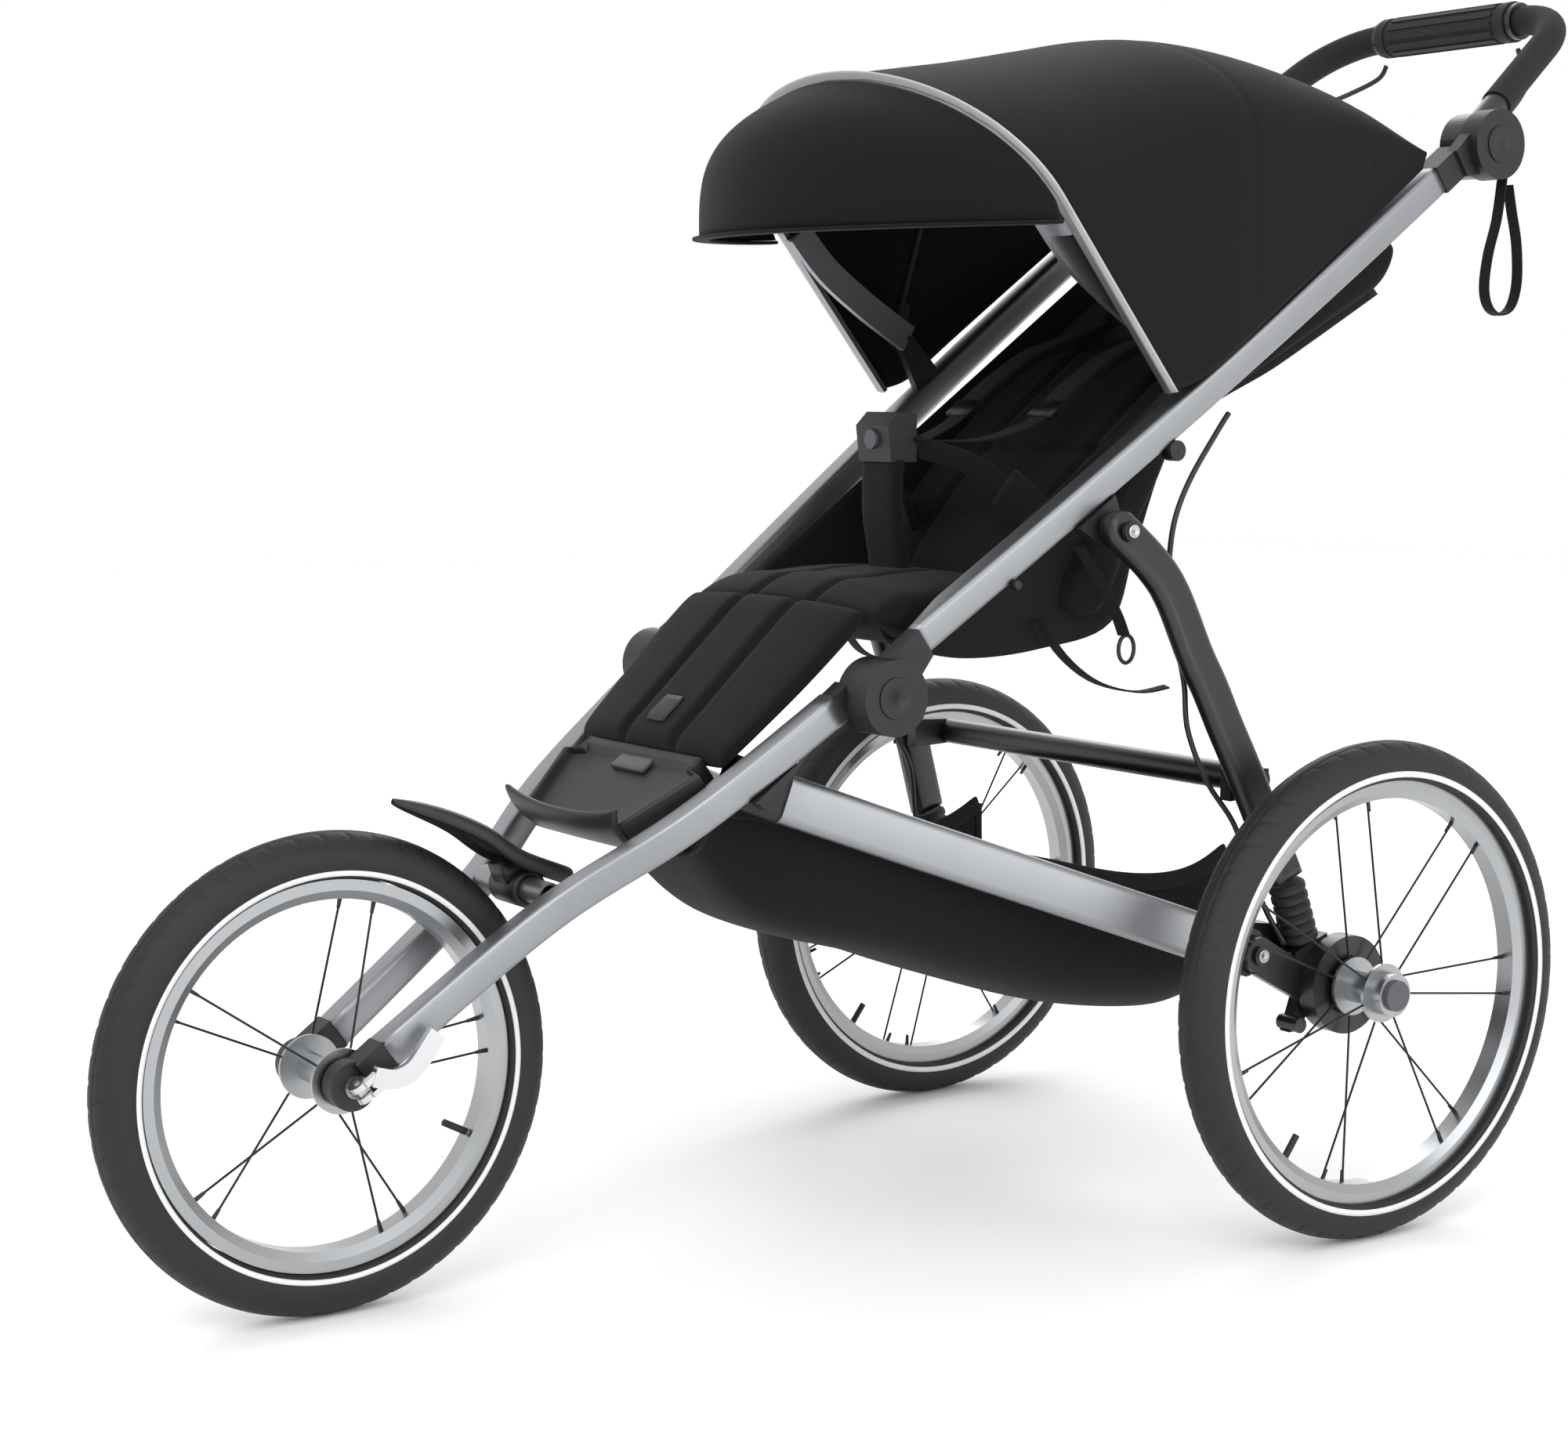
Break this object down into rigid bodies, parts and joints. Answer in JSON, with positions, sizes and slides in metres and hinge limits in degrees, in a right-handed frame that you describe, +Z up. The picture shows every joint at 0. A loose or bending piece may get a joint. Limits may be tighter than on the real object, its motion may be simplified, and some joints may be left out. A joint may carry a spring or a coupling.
{
  "type": "jogging stroller",
  "caption": "Three-wheeled jogging stroller with a straight folding frame, spoked wheels, arched canopy, quilted seat, rear suspension and a loop handlebar with a brake grip.",
  "frame": {"origin": "centre of the outer box on the ground, under the seat", "axes": "+X to the stroller's left, +Y to the rear (it faces -Y), +Z up"},
  "size_m": [0.6984, 1.4804, 1.1283],
  "materials": {
    "aluminium": "satin silver",
    "black_plastic": "matt",
    "grey_plastic": "matt",
    "black_paint": "satin",
    "steel": "brushed",
    "chrome": "polished",
    "tyre": "matt",
    "rubber": "matt",
    "fabric": "woven",
    "webbing": "woven",
    "foam": "matt foam"
  },
  "bodies": {
    "front_frame": {"front_tube_left": "aluminium", "front_tube_right": "aluminium", "dropout_left": "black_plastic", "dropout_right": "black_plastic", "fold_base_left": "black_plastic", "fold_base_right": "black_plastic", "front_cross_tube": "aluminium", "fender": "black_plastic", "footrest": "black_plastic", "front_axle": "steel", "side_saddles": "black_plastic", "leg_panel": "fabric"},
    "front_wheel": {"front_tyre": "tyre", "front_rim": "aluminium", "front_hub": "aluminium"},
    "qr_lever": {"qr_lever": "chrome"},
    "upper_frame": {"rail_left": "aluminium", "rail_right": "aluminium", "fold_cover_left": "black_plastic", "fold_cover_right": "black_plastic", "upper_hub_left": "black_plastic", "upper_hub_right": "black_plastic", "rail_brackets": "black_plastic", "seat_back": "fabric", "seat_base": "fabric", "harness": "webbing", "crotch_pad": "webbing", "buckle": "black_plastic", "canopy_fabric": "fabric", "brake_cables": "rubber"},
    "buckle_button": {"buckle_button": "grey_plastic"},
    "handlebar": {"handlebar": "black_paint", "handlebar_foam": "foam"},
    "brake_grip": {"brake_grip": "black_plastic"},
    "tilt_button_left": {"tilt_button_left": "grey_plastic"},
    "tilt_button_right": {"tilt_button_right": "grey_plastic"},
    "canopy_bow": {"canopy_bow": "aluminium"},
    "canopy_mid": {"canopy_mid_bow": "black_plastic"},
    "visor": {"visor": "fabric"},
    "legs": {"leg_left": "black_paint", "leg_right": "black_paint", "leg_crossbar": "black_paint"},
    "rear_frame": {"side_tube_left": "aluminium", "side_tube_right": "aluminium", "rear_axle_tube": "black_paint", "basket": "fabric"},
    "suspension_left": {"suspension_arm_left": "black_paint", "bellows_left": "rubber"},
    "suspension_right": {"suspension_arm_right": "black_paint", "bellows_right": "rubber"},
    "rear_wheel_left": {"rear_tyre_left": "tyre", "rear_rim_left": "aluminium", "rear_hub_left": "aluminium"},
    "rear_wheel_right": {"rear_tyre_right": "tyre", "rear_rim_right": "aluminium", "rear_hub_right": "aluminium"},
    "hub_button_left": {"hub_button_left": "grey_plastic"},
    "hub_button_right": {"hub_button_right": "grey_plastic"},
    "brake_pedal": {"brake_pedal": "black_plastic"},
    "wrist_strap": {"wrist_strap": "webbing"}
  },
  "joints": [
    {"name": "frame_fold", "type": "hinge", "parent": "front_frame", "child": "upper_frame", "pos_m": [0, -0.1165, 0.4919], "axis": [1, 0, 0], "range_deg": [0, 160], "deforming": ["leg_panel", "seat_base", "seat_back", "harness", "crotch_pad", "buckle", "buckle_button", "canopy_fabric", "visor", "basket", "bellows_left", "bellows_right", "brake_cables"]},
    {"name": "rear_fold", "type": "hinge", "parent": "front_frame", "child": "rear_frame", "pos_m": [0, -0.20136, 0.41473], "axis": [1, 0, 0], "range_deg": [0, 150]},
    {"name": "leg_fold", "type": "hinge", "parent": "upper_frame", "child": "legs", "pos_m": [0, 0.10445, 0.62498], "axis": [1, 0, 0], "range_deg": [0, 22]},
    {"name": "canopy_fold", "type": "hinge", "parent": "upper_frame", "child": "canopy_bow", "pos_m": [0, 0.17067, 0.79263], "axis": [-1, 0, 0], "range_deg": [0, 95]},
    {"name": "canopy_mid_fold", "type": "hinge", "parent": "upper_frame", "child": "canopy_mid", "pos_m": [0, 0.17067, 0.79263], "axis": [-1, 0, 0], "range_deg": [0, 46]},
    {"name": "visor_flip", "type": "hinge", "parent": "canopy_bow", "child": "visor", "pos_m": [0, 0.03429, 0.884], "axis": [-1, 0, 0], "range_deg": [0, 65]},
    {"name": "handlebar_tilt", "type": "hinge", "parent": "upper_frame", "child": "handlebar", "pos_m": [0, 0.53541, 0.96927], "axis": [1, 0, 0], "range_deg": [-60, 25]},
    {"name": "brake_twist", "type": "hinge", "parent": "handlebar", "child": "brake_grip", "pos_m": [0, 0.72011, 1.10806], "axis": [1, 0, 0], "range_deg": [0, 60], "stiffness_Nm_per_rad": 1.2, "springref_deg": -5.73},
    {"name": "tilt_button_left_press", "type": "slide", "parent": "handlebar", "child": "tilt_button_left", "axis": [1, 0, 0], "range_m": [0, 0.004], "stiffness_N_per_m": 800, "springref_m": -0.001},
    {"name": "tilt_button_right_press", "type": "slide", "parent": "handlebar", "child": "tilt_button_right", "axis": [-1, 0, 0], "range_m": [0, 0.004], "stiffness_N_per_m": 800, "springref_m": -0.001},
    {"name": "buckle_button_press", "type": "slide", "parent": "upper_frame", "child": "buckle_button", "axis": [0, 1, 0], "range_m": [0, 0.003], "stiffness_N_per_m": 800, "springref_m": -0.001},
    {"name": "qr_lever_swing", "type": "hinge", "parent": "front_frame", "child": "qr_lever", "pos_m": [0.066, -0.54312, 0.197], "axis": [0, 0.5868, -0.8097], "range_deg": [0, 150]},
    {"name": "front_wheel_spin", "type": "hinge", "parent": "front_frame", "child": "front_wheel", "pos_m": [0, -0.54312, 0.197], "axis": [1, 0, 0], "continuous": true},
    {"name": "suspension_left_travel", "type": "hinge", "parent": "rear_frame", "child": "suspension_left", "pos_m": [0.26, 0.22088, 0.2541], "axis": [1, 0, 0], "range_deg": [0, 8], "stiffness_Nm_per_rad": 220, "springref_deg": -3.44},
    {"name": "suspension_right_travel", "type": "hinge", "parent": "rear_frame", "child": "suspension_right", "pos_m": [-0.26, 0.22088, 0.2541], "axis": [1, 0, 0], "range_deg": [0, 8], "stiffness_Nm_per_rad": 220, "springref_deg": -3.44},
    {"name": "rear_wheel_left_spin", "type": "hinge", "parent": "suspension_left", "child": "rear_wheel_left", "pos_m": [0.3182, 0.31128, 0.2211], "axis": [1, 0, 0], "continuous": true},
    {"name": "rear_wheel_right_spin", "type": "hinge", "parent": "suspension_right", "child": "rear_wheel_right", "pos_m": [-0.3182, 0.31128, 0.2211], "axis": [1, 0, 0], "continuous": true},
    {"name": "hub_button_left_press", "type": "slide", "parent": "rear_wheel_left", "child": "hub_button_left", "axis": [-1, 0, 0], "range_m": [0, 0.004], "stiffness_N_per_m": 800, "springref_m": -0.001},
    {"name": "hub_button_right_press", "type": "slide", "parent": "rear_wheel_right", "child": "hub_button_right", "axis": [1, 0, 0], "range_m": [0, 0.004], "stiffness_N_per_m": 800, "springref_m": -0.001},
    {"name": "brake_pedal_press", "type": "hinge", "parent": "rear_frame", "child": "brake_pedal", "pos_m": [0, 0.28129, 0.258], "axis": [-1, 0, 0], "range_deg": [0, 25]},
    {"name": "wrist_strap_swing", "type": "hinge", "parent": "upper_frame", "child": "wrist_strap", "pos_m": [0.222, 0.55529, 0.941], "axis": [1, 0, 0], "range_deg": [-30, 30]}
  ],
  "couplings": [
    {"joint": "rear_fold", "follows": "frame_fold", "ratio": 0.9},
    {"joint": "leg_fold", "follows": "frame_fold", "ratio": 0.13},
    {"joint": "canopy_fold", "follows": "frame_fold", "ratio": 0.57},
    {"joint": "canopy_mid_fold", "follows": "frame_fold", "ratio": 0.285}
  ]
}
